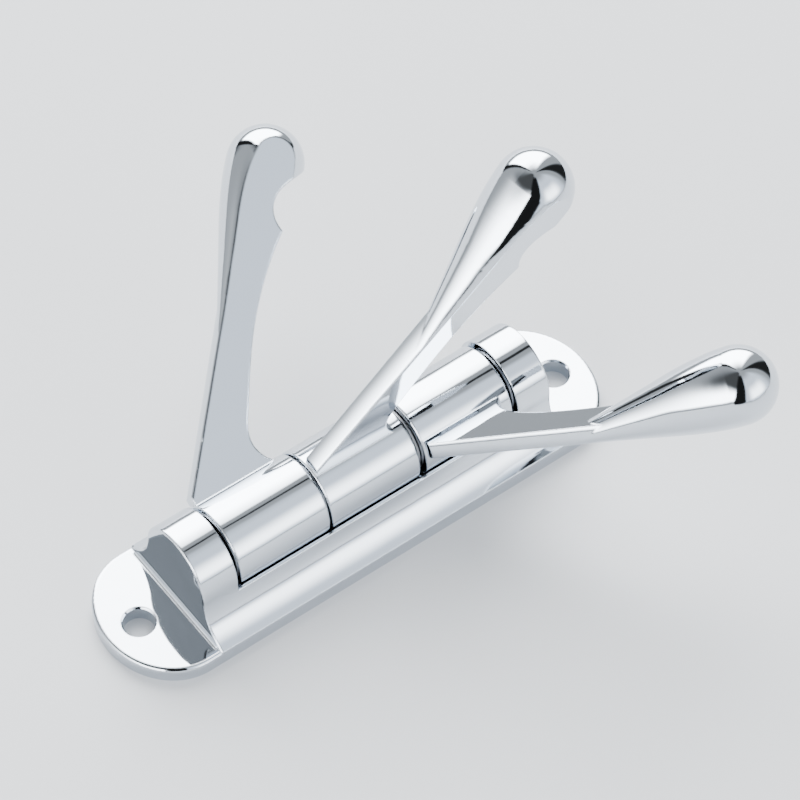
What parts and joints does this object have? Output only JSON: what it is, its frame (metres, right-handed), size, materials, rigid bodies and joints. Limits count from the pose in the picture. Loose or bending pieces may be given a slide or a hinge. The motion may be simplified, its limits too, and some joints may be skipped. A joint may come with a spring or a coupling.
{
  "type": "swivel wall hook",
  "caption": "Chromed wall hook: a flat base with a raised housing holds sideways-swept arms that swing on one pin, each with a notch under its ball tip.",
  "frame": {"origin": "centre of the base's flat wall face", "axes": "+Z out of the wall, +X along the pin towards the end that is up as hung, +Y to the side that the lower arm leans to at rest"},
  "size_m": [0.1203, 0.1109, 0.0791],
  "materials": {
    "base_chrome": "mirror-bright plating over a die casting",
    "arm_chrome": "mirror-bright plating over a die casting",
    "plug_chrome": "bright plating",
    "pin_steel": "ground",
    "washer_steel": "dull, in shadow"
  },
  "bodies": {
    "housing": {"base": "base_chrome", "pivot_pin": "pin_steel", "lower_washer": "washer_steel", "inner_washer": "washer_steel", "upper_washer": "washer_steel", "spring_washer": "washer_steel", "end_plug": "plug_chrome"},
    "lower": {"lower_arm": "arm_chrome"},
    "middle": {"middle_arm": "arm_chrome"},
    "upper": {"upper_arm": "arm_chrome"}
  },
  "joints": [
    {"name": "lower_swivel", "type": "hinge", "parent": "housing", "child": "lower", "pos_m": [-0.02165, 0, 0.01305], "axis": [1, 0, 0], "range_deg": [-26.5, 143.5]},
    {"name": "middle_swivel", "type": "hinge", "parent": "housing", "child": "middle", "pos_m": [-0.00035, 0, 0.01305], "axis": [1, 0, 0], "range_deg": [-91.1, 78.9]},
    {"name": "upper_swivel", "type": "hinge", "parent": "housing", "child": "upper", "pos_m": [0.02185, 0, 0.01305], "axis": [1, 0, 0], "range_deg": [-145.4, 24.6]}
  ]
}
